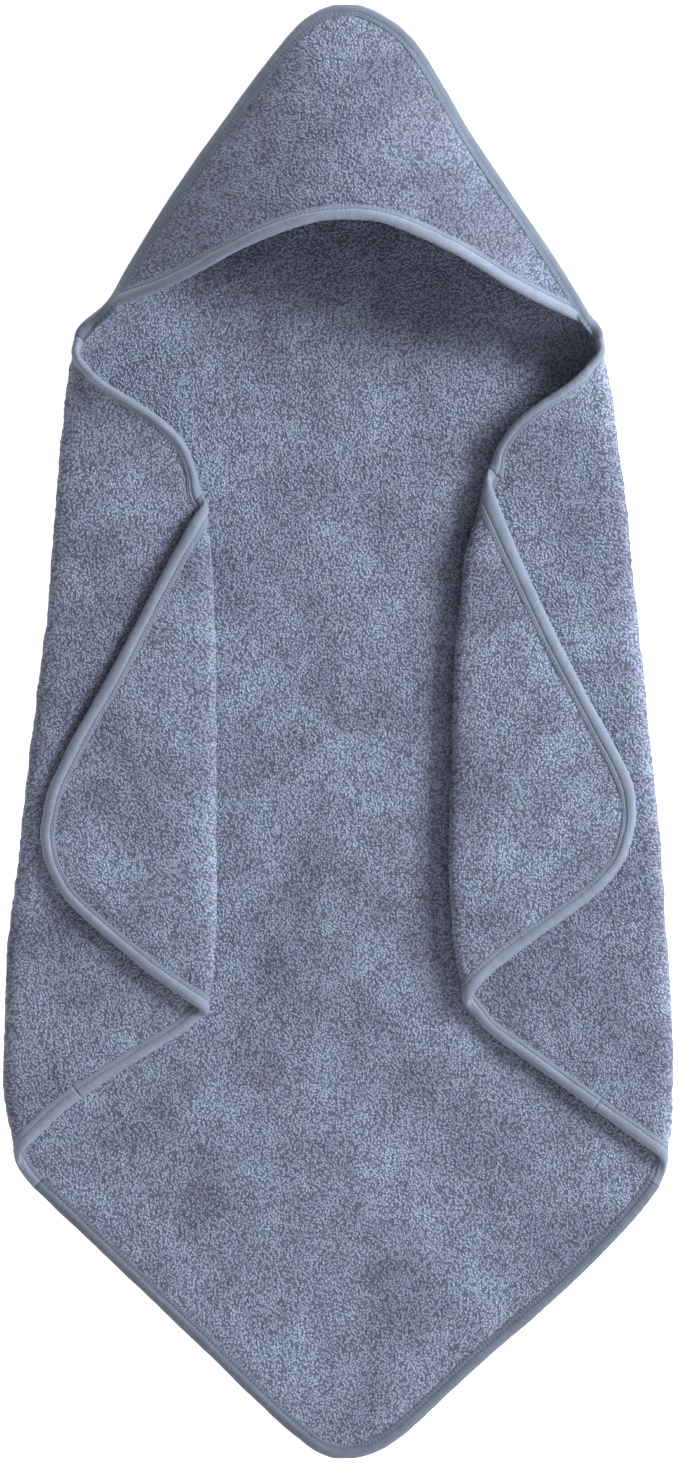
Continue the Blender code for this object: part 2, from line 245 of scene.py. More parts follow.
def noise(u, v, size, seed):
    """Smooth noise from -1 to 1 with features of that size."""
    lattice = np.random.default_rng(seed).uniform(-1, 1, (256, 256))
    u, v, i, j = squares(u, v, size)
    a, b = smoothstep(u - i, 0, 1), smoothstep(v - j, 0, 1)
    i0, i1, j0, j1 = i % 256, (i + 1) % 256, j % 256, (j + 1) % 256
    low = lattice[i0, j0] * (1 - a) + lattice[i1, j0] * a
    high = lattice[i0, j1] * (1 - a) + lattice[i1, j1] * a
    return low * (1 - b) + high * b


def clumps(u, v, size, seed):
    """Rounded clumps of loops of that size, from 0 between them to 1 on top."""
    jitter = np.random.default_rng(seed).random((256, 256, 3))
    u, v, i, j = squares(u, v, size)
    nearest = np.full(u.shape, 9.0)
    for di in (-1, 0, 1):
        for dj in (-1, 0, 1):
            cell = jitter[(i + di) % 256, (j + dj) % 256]
            apart = np.hypot(i + di + cell[..., 0] - u, j + dj + cell[..., 1] - v)
            nearest = np.minimum(nearest, apart + 0.3 * cell[..., 2])
    return np.clip(1.15 - nearest, 0, 1)


# The towel's one sheet

EDGE_INSET = 0.0019  # from the binding's outside to the edge of the cloth in it
rim_edge = to_left(spline(metres(RIM)), EDGE_INSET)
foot_edge = to_left(spline(metres(FOOT)), EDGE_INSET)


def half_outline(curve, side):
    """One side of an outline across the middle line, as distance from the middle line by y."""
    sign = 1 if side == "right" else -1
    part = curve[curve[:, 0] * sign > 0]
    other = curve[curve[:, 0] * sign <= 0]
    nearest = other[np.argmin(np.abs(other[:, 0]))]
    rows = np.vstack([part * (sign, 1), (0, nearest[1])])
    rows = rows[np.argsort(rows[:, 1])]
    return rows[:, 1], rows[:, 0]


def quarter(centre, reach, rise, turn, count=26):
    """A quarter of an ellipse about a point (x, z), between two whole quarter turns."""
    angle = np.radians(np.linspace(*turn, count))
    return np.column_stack([centre[0] + reach * np.cos(angle), centre[1] + rise * np.sin(angle)])


def level(start, end, z, count):
    """A level run of a row, as (x, z)."""
    return np.column_stack([np.linspace(start, end, count), np.full(count, z)])


def by_y(points, shift):
    """An outline's points as (y, distance from the middle line), moved outward."""
    return [(y, x + shift) for x, y in metres(points)]


def travel_along(points):
    """The distance along a line of each of its points."""
    return np.append(0, np.cumsum(np.linalg.norm(np.diff(points, axis=0), axis=1)))


def columns_at(marks, places, values):
    """Each column of the values, read at the marks."""
    return np.column_stack([np.interp(marks, places, values[:, k]) for k in range(values.shape[1])])


class Side:
    """One half of the sheet, from the middle line outward."""

    def __init__(self, name):
        self.name = name
        self.sign = 1 if name == "right" else -1
        self.rim_y, self.rim_x = half_outline(rim_edge, name)
        self.foot_y, self.foot_x = half_outline(foot_edge, name)
        rim_rows = [(y, x) for y, x in zip(self.rim_y, self.rim_x) if RIM_LOW < y < RIM_JOIN]
        self.fold_in = graph(by_y(FOLD_IN[name], FOLD_IN_SHIFT) + rim_rows, 0.007)
        self.neck = graph(by_y(NECK[name], BOUND_SHIFT) + rim_rows, 0.004)
        self.corner = graph(by_y(CORNER[name], CORNER_SHIFT), 0.005)
        self.fold_out = graph(by_y(FOLD_OUT[name], FOLD_OUT_SHIFT), 0.006)
        self.hem = graph(by_y(HEM[name], BOUND_SHIFT), 0.004)
        self.rows = np.linspace(ROW_LOW, ROW_HIGH, round((ROW_HIGH - ROW_LOW) / STEP) + 1)
        self.s = np.arange(0, REACH, STEP)
        self.trace()

    def folded_row(self, y):
        """The middle of the cloth across a row, as (x, z), and the last point of each of its parts."""
        bend_x, bend_z = self.fold_in(y), bend_height(y)
        edge_x = self.neck(y) if y > ROUND_FOLD_OUT_TOP[self.name][1] else self.fold_out(y) + ROLL_UNDER
        edge_x = min(edge_x, bend_x - 0.0005)
        under = min(under_reach(y), 0.6 * bend_x)
        over = min(over_reach(y), 0.9 * (bend_x - edge_x))
        over_z, edge_z = over_height(y), edge_height(y)
        roll_x = min(self.fold_out(y), edge_x)
        roll_z = edge_z + roll_rise(y)
        middle_z = (edge_z + roll_z) / 2
        base = level(0, bend_x - under, BASE_Z, PART_POINTS // 2)
        lower = quarter((bend_x - under, bend_z), under, bend_z - BASE_Z, (-90, 0))
        upper = quarter((bend_x - over, bend_z), over, over_z - bend_z, (0, 90))
        x = np.linspace(bend_x - over, roll_x + ROLL_UNDER, PART_POINTS)
        share = np.clip((bend_x - over - x) / max(bend_x - over - edge_x, 0.001), 0, 1)
        strip = np.column_stack([x, over_z + (edge_z - over_z) * share * (1 + STRIP_BOW - STRIP_BOW * share)])
        turn_in = quarter((roll_x + ROLL_UNDER, middle_z), ROLL_UNDER, middle_z - edge_z, (270, 180))
        turn_out = quarter((roll_x + ROLL_OVER, middle_z), ROLL_OVER, roll_z - middle_z, (180, 90))
        flap = level(roll_x + ROLL_OVER, FLAP_REACH, roll_z, PART_POINTS)
        parts = [base, lower[1:], upper[1:], strip[1:], turn_in[1:], turn_out[1:], flap[1:]]
        ends = np.cumsum([len(p) for p in parts]) - 1
        return np.vstack(parts), ends

    def hood_row(self, y):
        """The middle of the hood's back layer across a row, and the number of its point at the rim."""
        rim = max(np.interp(y, self.rim_y, self.rim_x), 0.004)
        rise = rim_height(y) - BASE_Z
        x = np.linspace(0, rim, PART_POINTS)
        bowl = np.column_stack([x, BASE_Z + rise * (x / rim) ** BOWL_POWER])
        along = np.array([1, BOWL_POWER * rise / rim])
        return np.vstack([bowl, bowl[-1] + along / np.linalg.norm(along) * 0.5]), len(x) - 1

    def edge_along(self, y, path, length, ends):
        """Where the cloth ends along a folded row, or nothing where it ends round a fold or at the hood."""
        out_top, out_end = ROUND_FOLD_OUT_TOP[self.name], ROUND_FOLD_OUT_END[self.name]
        in_end = ROUND_FOLD_IN_END[self.name]
        outer, inner = ends[1], ends[4]
        back = slice(inner, outer - 1, -1)
        if y > HOOD_CUT + 2 * STEP:
            return np.nan
        if y >= out_top[0]:
            return np.interp(self.neck(y), path[back, 0], length[back])
        if out_end[0] <= y <= out_top[1]:
            return np.interp(self.corner(y), path[inner:, 0], length[inner:])
        if in_end[0] <= y <= out_end[1]:
            return np.interp(self.hem(y), path[back, 0], length[back])
        if y <= in_end[1]:
            return np.interp(y, self.foot_y, self.foot_x)
        return np.nan

    def trace(self):
        """Works out the sheet's middle surface and normals on the grid, and its edge in each row."""
        xz = np.zeros((len(self.rows), len(self.s), 2))
        edge = np.full(len(self.rows), np.nan)
        self.turns = np.zeros((len(self.rows), 4))
        for j, y in enumerate(self.rows):
            path, ends = self.folded_row(y)
            length = travel_along(path)
            row = columns_at(self.s, length, path)
            self.turns[j] = length[[ends[0], ends[1], ends[3], ends[5]]]
            edge[j] = self.edge_along(y, path, length, ends)
            share = float(smoothstep(y, FLAT_BELOW, BOWL_ABOVE))
            if share > 0:
                path, end = self.hood_row(y)
                length = travel_along(path)
                row = row * (1 - share) + columns_at(self.s, length, path) * share
                if y > BOWL_EDGE:
                    edge[j] = length[end]
            xz[j] = row
        known = ~np.isnan(edge)
        edge = np.interp(self.rows, self.rows[known], edge[known])
        kernel = np.exp(-0.5 * (np.arange(-4, 5) / 1.3) ** 2)
        smoothed = np.convolve(np.pad(edge, 4, "edge"), kernel / kernel.sum(), "valid")
        near_tip = np.minimum(smoothstep(self.rows, -0.46, -0.40), 1 - smoothstep(self.rows, 0.40, 0.46))
        self.edge = edge + (smoothed - edge) * near_tip
        y = np.broadcast_to(self.rows[:, None], xz.shape[:2])
        z = xz[..., 1] + swell(self.sign * xz[..., 0], y)
        self.points = np.dstack([self.sign * xz[..., 0], y, z])
        self.normals = self.sign * unit(
            np.cross(np.gradient(self.points, axis=1), np.gradient(self.points, axis=0))
        )
        self.normals[:, 0] = unit(self.normals[:, 0] * (0, 1, 1))

    def at(self, grid, s, y):
        """The grid's value at points of the pattern."""
        i = np.clip(np.asarray(s) / STEP, 0, len(self.s) - 1.001)
        j = np.clip((np.asarray(y) - self.rows[0]) / (self.rows[1] - self.rows[0]), 0, len(self.rows) - 1.001)
        i0, j0 = i.astype(int), j.astype(int)
        a, b = (i - i0)[..., None], (j - j0)[..., None]
        low = grid[j0, i0] * (1 - a) + grid[j0, i0 + 1] * a
        high = grid[j0 + 1, i0] * (1 - a) + grid[j0 + 1, i0 + 1] * a
        return low * (1 - b) + high * b

    def surface(self, s, y):
        return self.at(self.points, s, y), unit(self.at(self.normals, s, y))

    def turn(self, y, k):
        return np.interp(y, self.rows, self.turns[:, k])

    def about(self, axis, s, y):
        """Distance from a fold's axis of points of the pattern, and angle round it from outward to up."""
        points = self.surface(s, y)[0]
        outward = np.abs(points[:, 0]) - np.interp(y, *axis[:2])
        upward = points[:, 2] - axis[2]
        return np.maximum(np.hypot(outward, upward), 1e-5), np.arctan2(upward, outward) % (2 * math.pi)

    def side_weight(self, s, y):
        """How far a point of the pattern turns about the fold-in line: just enough to lie on the floor."""
        far, angle = self.about(FOLD_IN_AXIS, s, y)
        angle = (angle + math.pi / 2) % (2 * math.pi) - math.pi / 2
        drop = np.arcsin(np.clip((FOLD_IN_AXIS[2] - BASE_Z) / far, 0, 1))
        flat = np.clip((angle + drop) / math.pi, 0, 1)
        top = ROUND_FOLD_OUT_TOP[self.name][0]
        with_corner = smoothstep(s, CORNER_CUT - 0.035, CORNER_CUT) * (1 - smoothstep(y, top, top + 0.03))
        bent = smoothstep(s, self.turn(y, 0), self.turn(y, 1)) * (1 - smoothstep(y, *NECK_TWIST))
        return bent * (flat + (1 - flat) * with_corner)

    def corner_weight(self, s, y):
        """How far a point of the pattern turns about the fold-out line: enough to lie level with the side."""
        axis = FOLD_OUT_AXIS[self.name]
        far, angle = self.about(axis, s, y)
        rise = np.arcsin(np.clip((axis[2] - 2 * FOLD_IN_AXIS[2] + BASE_Z) / far, 0, 1))
        flat = np.clip((math.pi + rise - angle) / math.pi, 0, 1)
        return flat * smoothstep(s, self.turn(y, 2), self.turn(y, 2) + 0.004)


def swell(x, y):
    """How far the cloth lifts off the floor: soft waves, and more of them in the foot corner."""
    soft = 0.0014 * (1 + noise(x + 3, y + 3, 0.115, 11)) + 0.0008 * (1 + noise(x + 3, y + 3, 0.048, 12))
    foot = 0.0010 * (1 + noise(x + 5, y + 5, 0.075, 13)) * smoothstep(-y, 0.30, 0.42)
    return soft * 0.6 + foot


def rim_height(y):
    """Height of the hood's back layer at its rim."""
    t = np.clip((y - RIM_LOW) / RIM_RUN, 0, 1)
    return RIM_LEAST + RIM_LIFT * (1 - t) ** RIM_POWER


PROFILES = (UNDER_REACH, BEND_Z, OVER_REACH, OVER_Z, EDGE_Z, ROLL_RISE)
under_reach, bend_height, over_reach, over_height, edge_height, roll_rise = (
    graph(metres(profile)) for profile in PROFILES
)
SIDES = {name: Side(name) for name in ("left", "right")}


# The hood's front layer, as a height over the floor

mouth_edge = to_left(spline(metres(MOUTH)), EDGE_INSET)
rim_sorted = rim_edge[np.argsort(rim_edge[:, 0])]


def mouth_y(x):
    return np.interp(x, mouth_edge[:, 0], mouth_edge[:, 1])


def rim_y(x):
    return np.interp(x, rim_sorted[:, 0], rim_sorted[:, 1])


def front_height(x, y):
    """Height of the front layer: a bow along the front edge that falls to the seam at the rim."""
    low, high = mouth_y(x), rim_y(x)
    share = np.clip((y - low) / np.maximum(high - low, 0.012), -0.3, 1)
    u = np.clip(x / np.where(x < 0, -MOUTH_ENDS[0], MOUTH_ENDS[1]), -1, 1)
    seam = rim_height(high) + PLIES
    lip = seam + (LIP_Z - seam) * (1 - np.abs(u) ** LIP_POWER)
    fall = 1 - np.sign(share) * np.abs(share) ** FALL_POWER
    ripple = 0.0016 * noise(x + 1, y + 1, 0.07, 21) + 0.0006 * noise(x + 1, y + 1, 0.026, 22)
    loose = smoothstep(share, 0, 0.2) * (1 - smoothstep(share, 0.7, 1.0)) * (1 - np.abs(u) ** 4)
    return seam + (lip - seam) * fall + ripple * loose


def front_surface(x, y):
    """Points and normals of the front layer."""
    gap = 0.001
    across = (front_height(x + gap, y) - front_height(x - gap, y)) / (2 * gap)
    along = (front_height(x, y + gap) - front_height(x, y - gap)) / (2 * gap)
    points = np.stack([x, y, front_height(x, y)], axis=-1)
    return points, unit(np.stack([-across, -along, np.ones_like(x)], axis=-1))


# Meshes


def seen_from_above(points):
    """Outlines are as the camera sees them, so what stands higher is drawn in towards the middle."""
    points = np.array(points, float)
    points[:, :2] *= 1 - points[:, 2:] / CAMERA_HEIGHT
    points[:, 2] = np.maximum(points[:, 2], 0.0002)
    return points


def mesh_object(name, points, faces, pattern):
    """A smooth mesh with each vertex's place in pattern space, which its material reads."""
    mesh = bpy.data.meshes.new(name)
    mesh.from_pydata(seen_from_above(points).tolist(), [], faces)
    mesh.polygons.foreach_set("use_smooth", [True] * len(mesh.polygons))
    attribute = mesh.attributes.new("pattern", "FLOAT_VECTOR", "POINT")
    attribute.data.foreach_set("vector", np.asarray(pattern, np.float32).ravel())
    mesh.update()
    obj = bpy.data.objects.new(name, mesh)
    bpy.context.scene.collection.objects.link(obj)
    return obj


def between_rows(rows, spots, flip):
    """Faces between rows of vertex numbers that start in line and end where the cloth does."""
    faces = []
    for a, b in zip(rows, rows[1:]):
        shared = min(len(a), len(b)) - 2
        made = [[a[k], a[k + 1], b[k + 1], b[k]] for k in range(shared)]
        i = j = shared
        while i < len(a) - 1 or j < len(b) - 1:
            step_a = i < len(a) - 1 and (
                j == len(b) - 1
                or np.hypot(*(spots[a[i + 1]] - spots[b[j]])) < np.hypot(*(spots[a[i]] - spots[b[j + 1]]))
            )
            made.append([a[i], a[i + 1], b[j]] if step_a else [a[i], b[j + 1], b[j]])
            i, j = i + step_a, j + (not step_a)
        faces += made
    return [f[::-1] for f in faces] if flip else faces


def closed_cloth(name, faces, front, back, pattern):
    """A sheet with two faces, closed all round its edge."""
    faces = [tuple(f) for f in faces]
    used = np.unique(np.concatenate([np.array(f) for f in faces]))
    new = np.full(len(front), -1)
    new[used] = np.arange(len(used))
    count = len(used)
    top = [[int(new[v]) for v in f] for f in faces]
    edges = {(a, b) for f in top for a, b in zip(f, f[1:] + f[:1])}
    walls = [[a + count, b + count, b, a] for a, b in edges if (b, a) not in edges]
    walls.sort()
    under = [[v + count for v in f[::-1]] for f in top]
    spots = np.column_stack([pattern[used], np.zeros(count)])
    obj = mesh_object(
        name,
        np.vstack([front[used], back[used]]),
        top + under + walls,
        np.vstack([spots, spots + BACK_SHIFT]),
    )
    rims = {tuple(sorted(pair)) for a, b, c, d in walls for pair in ((a, b), (c, d))}
    ends = np.zeros(len(obj.data.edges) * 2, int)
    obj.data.edges.foreach_get("vertices", ends)
    sharp = obj.data.attributes.new("sharp_edge", "BOOLEAN", "EDGE")
    sharp.data.foreach_set("value", [tuple(sorted(e)) in rims for e in ends.reshape(-1, 2).tolist()])
    return obj


def pile(u, v, seed):
    """Height of the terry's loops over the cloth, in metres."""
    rough = np.random.default_rng(seed + 5).uniform(-1, 1, len(u))
    tufts = clumps(u + 2, v + 2, 0.0048, seed)
    return 0.00035 * (tufts - 0.5) + 0.0005 * noise(u + 2, v + 2, 0.014, seed + 1) + 0.00034 * rough


def two_faces(points, normals, spots, edge_distance, seed):
    """The front and back of the cloth either side of its middle surface, thinner towards a bound edge."""
    half = HALF_BOUND + (HALF - HALF_BOUND) * smoothstep(edge_distance, 0.006, 0.017)
    loose = 0.25 + 0.75 * smoothstep(edge_distance, 0.006, 0.011)
    front = points + normals * (half + pile(*spots.T, seed) * loose)[:, None]
    back = points - normals * (half + pile(*spots.T, seed + 50) * loose)[:, None]
    return front, back


def distances(spots, outline):
    """How far each spot is from the outline's nearest point."""
    tree = kdtree.KDTree(len(outline))
    for i, p in enumerate(outline):
        tree.insert((p[0], p[1], 0), i)
    tree.balance()
    return np.array([tree.find((p[0], p[1], 0))[2] for p in spots])


def dense(points, spacing):
    """The same line with points that far apart."""
    length = travel_along(points)
    marks = np.linspace(0, length[-1], max(2, round(length[-1] / spacing) + 1))
    return columns_at(marks, length, points)


# Outline of the pattern, from the foot's tip up each side to the hood's tip


def side_outline(side):
    """The cloth's edge down one side, in the pattern, from the hood's tip to the foot's."""
    keep = (side.rows > FOOT_ROWS) & (side.rows < HOOD_ROWS)
    rows = np.column_stack([side.edge[keep], side.rows[keep]])
    foot = np.column_stack([side.foot_x, side.foot_y])
    rim = np.column_stack([side.rim_x, side.rim_y])
    foot, rim = foot[foot[:, 1] <= FOOT_ROWS], rim[rim[:, 1] >= HOOD_ROWS]
    foot = foot[np.argsort(foot[:, 0])]
    rim = rim[np.argsort(-rim[:, 0])]
    return np.vstack([foot, rows, rim])[::-1]


outlines = {name: side_outline(side) for name, side in SIDES.items()}
signed = np.vstack([dense(o, OUTLINE_STEP) * (SIDES[n].sign, 1) for n, o in outlines.items()])


# Cloth pieces


def sheet_vertices():
    """Every vertex of the sheet, and its rows of vertex numbers on each side."""
    spots, rows, middle = [], {}, {}
    for name, side in SIDES.items():
        rows[name] = []
        for j, y in enumerate(side.rows):
            edge = side.edge[j]
            count = max(1, int((edge - LAST_STEP) / STEP) + 1)
            line = [(k * STEP, y) for k in range(count)] + [(max(edge, STEP * 0.5), y)]
            start = len(spots)
            ids = list(range(start, start + len(line)))
            if j in middle:
                ids = [middle[j], *range(start, start + len(line) - 1)]
                line = line[1:]
            middle.setdefault(j, ids[0])
            spots += [(side.sign * s, y, side.sign) for s, y in line]
            rows[name].append(ids)
    return np.array(spots), rows


def sheet_pieces():
    """The sheet, cut into its pieces of cloth."""
    spots, rows = sheet_vertices()
    points, normals = np.zeros((len(spots), 3)), np.zeros((len(spots), 3))
    for side in SIDES.values():
        own = spots[:, 2] == side.sign
        points[own], normals[own] = side.surface(np.abs(spots[own, 0]), spots[own, 1])
    front, back = two_faces(points, normals, spots[:, :2], distances(spots, signed), 31)
    groups = {}
    for name, side in SIDES.items():
        neck = ROUND_FOLD_OUT_TOP[name][0]
        for face in between_rows(rows[name], spots[:, :2], side.sign < 0):
            s, y = abs(spots[face, 0].mean()), spots[face, 1].mean()
            if y > HOOD_CUT:
                part = "hood_back"
            elif s > CORNER_CUT and y < neck:
                part = name + "_corner"
            elif y < FOOT_CUT:
                part = "foot"
            elif s > SIDE_CUT:
                part = name + "_side"
            else:
                part = "centre"
            groups.setdefault(part, []).append(face)
    pattern = spots[:, :2]
    return {part: closed_cloth(part + "_cloth", made, front, back, pattern) for part, made in groups.items()}


def hood_front():
    """The hood's front layer, in columns from its front edge to the rim."""
    columns = np.arange(MOUTH_ENDS[0] + CORNER_GAP, MOUTH_ENDS[1] - CORNER_GAP, STEP)
    spots, rows = [], []
    for x in columns:
        low, high = mouth_y(x), rim_y(x)
        count = max(1, int((high - low - LAST_STEP) / STEP) + 1)
        line = [(x, low + k * STEP) for k in range(count)] + [(x, high)]
        rows.append(list(range(len(spots), len(spots) + len(line))))
        spots += line
    spots = np.array(spots)
    points, normals = front_surface(*spots.T)
    outline = np.vstack([dense(mouth_edge, OUTLINE_STEP), dense(rim_edge, OUTLINE_STEP)])
    front, back = two_faces(points, normals, spots, distances(spots, outline), 77)
    faces = between_rows(rows, spots, True)
    return closed_cloth("hood_front_cloth", faces, front, back, spots + FRONT_SHIFT)


# Bindings and their stitches


class Edge:
    """A run of bound edge, which gives points of its two layers at any distance in from it."""

    def __init__(self, upper, lower):
        self.layers = (upper, lower)

    def at(self, d):
        """Points and normals of both layers that far in, in metres. Outside the edge they go straight on."""
        d = np.reshape(d, (-1, 1))
        found = []
        for layer in self.layers:
            points, normals = layer(np.maximum(d, 0))
            inward = unit(layer(0 * d + 0.002)[0] - layer(0 * d)[0])
            found.append((points + inward * np.minimum(d, 0), normals))
        return found


def tangents(name, y):
    """Directions along the outline towards the foot, shared by the runs of binding that meet at a point."""
    whole = dense(outlines[name], OUTLINE_STEP)
    along = np.gradient(whole, axis=0)
    return unit(np.column_stack([np.interp(-y, -whole[:, 1], along[:, k]) for k in range(2)]))


def pattern_edge(side, line):
    """Both layers of an edge of the sheet, which are the same one."""
    along = tangents(side.name, line[:, 1])
    inward = np.column_stack([along[:, 1], -along[:, 0]])

    def layer(d):
        spot = line + inward * d
        return side.surface(spot[:, 0], spot[:, 1])

    return layer


def banded(name, edge, thick=1.0, wide=1.0):
    """The binding over an edge, and its stitches. Returns both meshes."""
    thick = np.broadcast_to(thick, edge.at(0)[0][0].shape[:1])[:, None]
    section = [(d, h, 1.0) for d, h in UPPER_LEG] + [(d, -h, 0.0) for d, h in UPPER_LEG[::-1]]
    columns = []
    for d, h, upper in section:
        if d < 1.5:
            upper = 0.5 + 0.5 * math.copysign(min(1, abs(h) / 2.6), h)
        (top, top_n), (low, low_n) = edge.at(d / 1000 * wide)
        normal = unit(top_n * upper + low_n * (1 - upper))
        columns.append(top * upper + low * (1 - upper) + normal * h / 1000 * thick)
    grid = np.stack(columns, axis=1)
    rows, count, _ = grid.shape
    travel, across = travel_along(grid[:, count // 2]), travel_along(grid[rows // 2])
    centre = grid.mean(axis=1, keepdims=True)
    u, v = np.meshgrid(travel, across, indexing="ij")
    puff = 0.00016 * noise(u + 1, v + 1, 0.0065, 41) + 0.00022 * noise(u + 1, v * 0.4 + 1, 0.021, 42)
    grid = grid + unit(grid - centre) * puff[..., None]
    ids = np.arange(rows * count).reshape(rows, count)
    faces = []
    for k in range(count):
        n = (k + 1) % count
        faces += np.column_stack([ids[:-1, k], ids[1:, k], ids[1:, n], ids[:-1, n]]).tolist()
    faces += [ids[0].tolist(), ids[-1][::-1].tolist()]
    pattern = np.column_stack([u.ravel(), v.ravel(), np.zeros(rows * count)])
    band = mesh_object(name + "_binding", grid.reshape(-1, 3), faces, pattern)
    return band, stitches(name + "_stitches", edge, travel, thick, wide)


STITCH_RINGS = [(-1.05, 0.10, -0.20), (-0.60, 0.25, 0.05), (0.60, 0.25, 0.05), (1.05, 0.10, -0.20)]
STITCH_SIDES = 6


def stitches(name, edge, travel, thick, wide):
    """Short raised stitches along both grooves of the upper leg and one of the lower."""
    marks = np.arange(STITCH_PITCH, travel[-1] - STITCH_PITCH, STITCH_PITCH)
    points, faces, pattern = [], [], []
    heights = dict(UPPER_LEG)
    for groove, layer, sign in ((GROOVES[0], 0, 1), (GROOVES[1], 0, 1), (GROOVES[0], 1, -1)):
        low = np.interp(groove, sorted(heights), [heights[d] for d in sorted(heights)])
        line, normal = edge.at(groove / 1000 * wide)[layer]
        line = line + normal * sign * (low * thick + 0.12) / 1000
        middle, up = columns_at(marks, travel, line), unit(columns_at(marks, travel, normal)) * sign
        along = unit(columns_at(marks, travel, np.gradient(line, axis=0)))
        side = np.cross(along, up)
        rings = []
        for shift, radius, lift in STITCH_RINGS:
            for k in range(STITCH_SIDES):
                angle = 2 * math.pi * k / STITCH_SIDES
                offset = side * math.cos(angle) * radius + up * (math.sin(angle) * radius + lift)
                rings.append(middle + (along * shift + offset) / 1000)
        size = len(rings)
        block = np.stack(rings, axis=1)
        start = sum(len(p) for p in points)
        points.append(block.reshape(-1, 3))
        along_it, across_it = np.repeat(marks, size), np.tile(np.arange(size) * 1e-4, len(marks))
        pattern.append(np.column_stack([along_it, across_it, np.zeros(size * len(marks))]))
        one = []
        for r in range(len(STITCH_RINGS) - 1):
            for k in range(STITCH_SIDES):
                n = (k + 1) % STITCH_SIDES
                a, b = r * STITCH_SIDES, (r + 1) * STITCH_SIDES
                one.append([a + k, a + n, b + n, b + k])
        last = (len(STITCH_RINGS) - 1) * STITCH_SIDES
        caps = [list(range(STITCH_SIDES))[::-1], [last + k for k in range(STITCH_SIDES)]]
        faces += [[v + start + m * size for v in f] for m in range(len(marks)) for f in one + caps]
    return mesh_object(name, np.vstack(points), faces, np.vstack(pattern))


def in_space(side, line):
    """The pattern line with points spaced evenly along the edge as it lies folded."""
    fine = dense(line, FINE_STEP)
    length = travel_along(side.surface(fine[:, 0], fine[:, 1])[0])
    marks = np.linspace(0, length[-1], max(3, round(length[-1] / BINDING_STEP) + 1))
    return columns_at(marks, length, fine)


def part_of_line(line, high, low):
    """The part of a pattern line between two values of y, cut exactly."""
    y = line[:, 1]
    cut = [np.array([[np.interp(-v, -y, line[:, 0]), v]]) for v in (high, low)]
    return np.vstack([cut[0], line[(y < high) & (y > low)], cut[1]])


def edge_bindings():
    """Each side's three runs of binding with their stitches, and the pattern line that each follows."""
    made = {}
    for name, side in SIDES.items():
        line = outlines[name]
        neck = ROUND_FOLD_OUT_TOP[name][0]
        crossing = next(y for s, y in line if y < CORNER_END and s < CORNER_CUT)
        spans = {"neck": (HOOD_CUT, neck), "corner": (neck, crossing), "hem": (crossing, HEM_END)}
        for part, (high, low) in spans.items():
            run = in_space(side, part_of_line(line, high, low))
            layer = pattern_edge(side, run)
            wide = 1.0
            if part == "neck":
                from_ends = smoothstep(run[:, 1], high, high - 0.02) * smoothstep(run[:, 1], low, low + 0.02)
                wide = 1 - NARROWER * from_ends
            made[f"{name}_{part}"] = banded(f"{name}_{part}", Edge(layer, layer), 1.0, wide), run
    return made


def joined_line(cut, above):
    """The outline across the middle, at the foot or round the hood, as signed pattern points."""
    lines = {}
    for name, side in SIDES.items():
        line = outlines[name]
        end = np.array([[np.interp(-cut, -line[:, 1], line[:, 0]), cut]])
        part = [line[line[:, 1] > cut], end] if above else [end, line[line[:, 1] < cut]]
        lines[name] = np.vstack(part) * (side.sign, 1)
    whole = [lines["right"][::-1], lines["left"]] if above else [lines["left"], lines["right"][::-1]]
    whole = dense(np.vstack(whole), FINE_STEP)
    kernel = np.ones(9) / 9
    soft = np.column_stack([np.convolve(whole[:, k], kernel, "same") for k in range(2)])
    return dense(np.where(np.abs(whole[:, :1]) < TIP_HALF, soft, whole), BINDING_STEP)


def both_sides(line):
    """The sheet's surface at signed pattern points."""
    points, normals = np.zeros((len(line), 3)), np.zeros((len(line), 3))
    for side in SIDES.values():
        own = (line[:, 0] >= 0) if side.sign > 0 else (line[:, 0] < 0)
        points[own], normals[own] = side.surface(np.abs(line[own, 0]), line[own, 1])
    return points, normals


def crossing_edge(line):
    """Both layers of an edge that crosses the middle line, with the cloth on its left."""
    along = unit(np.gradient(line, axis=0))
    for name, side in SIDES.items():
        far = line[:, 0] * side.sign > TIP_HALF + 0.01
        shared = tangents(name, line[far, 1]) * (side.sign, 1)
        along[far] = shared * np.sign(np.sum(shared * along[far], axis=1, keepdims=True))
    inward = leftward(along)

    def layer(d):
        return both_sides(line + inward * d)

    return layer


# Materials


def nodes_of(name, **looks):
    """A new material, its nodes and its shader's inputs."""
    made = bpy.data.materials.new(name)
    made.use_nodes = True
    inputs = made.node_tree.nodes["Principled BSDF"].inputs
    for key, value in looks.items():
        inputs[key.replace("_", " ")].default_value = value
    return made, Graph(made.node_tree), inputs


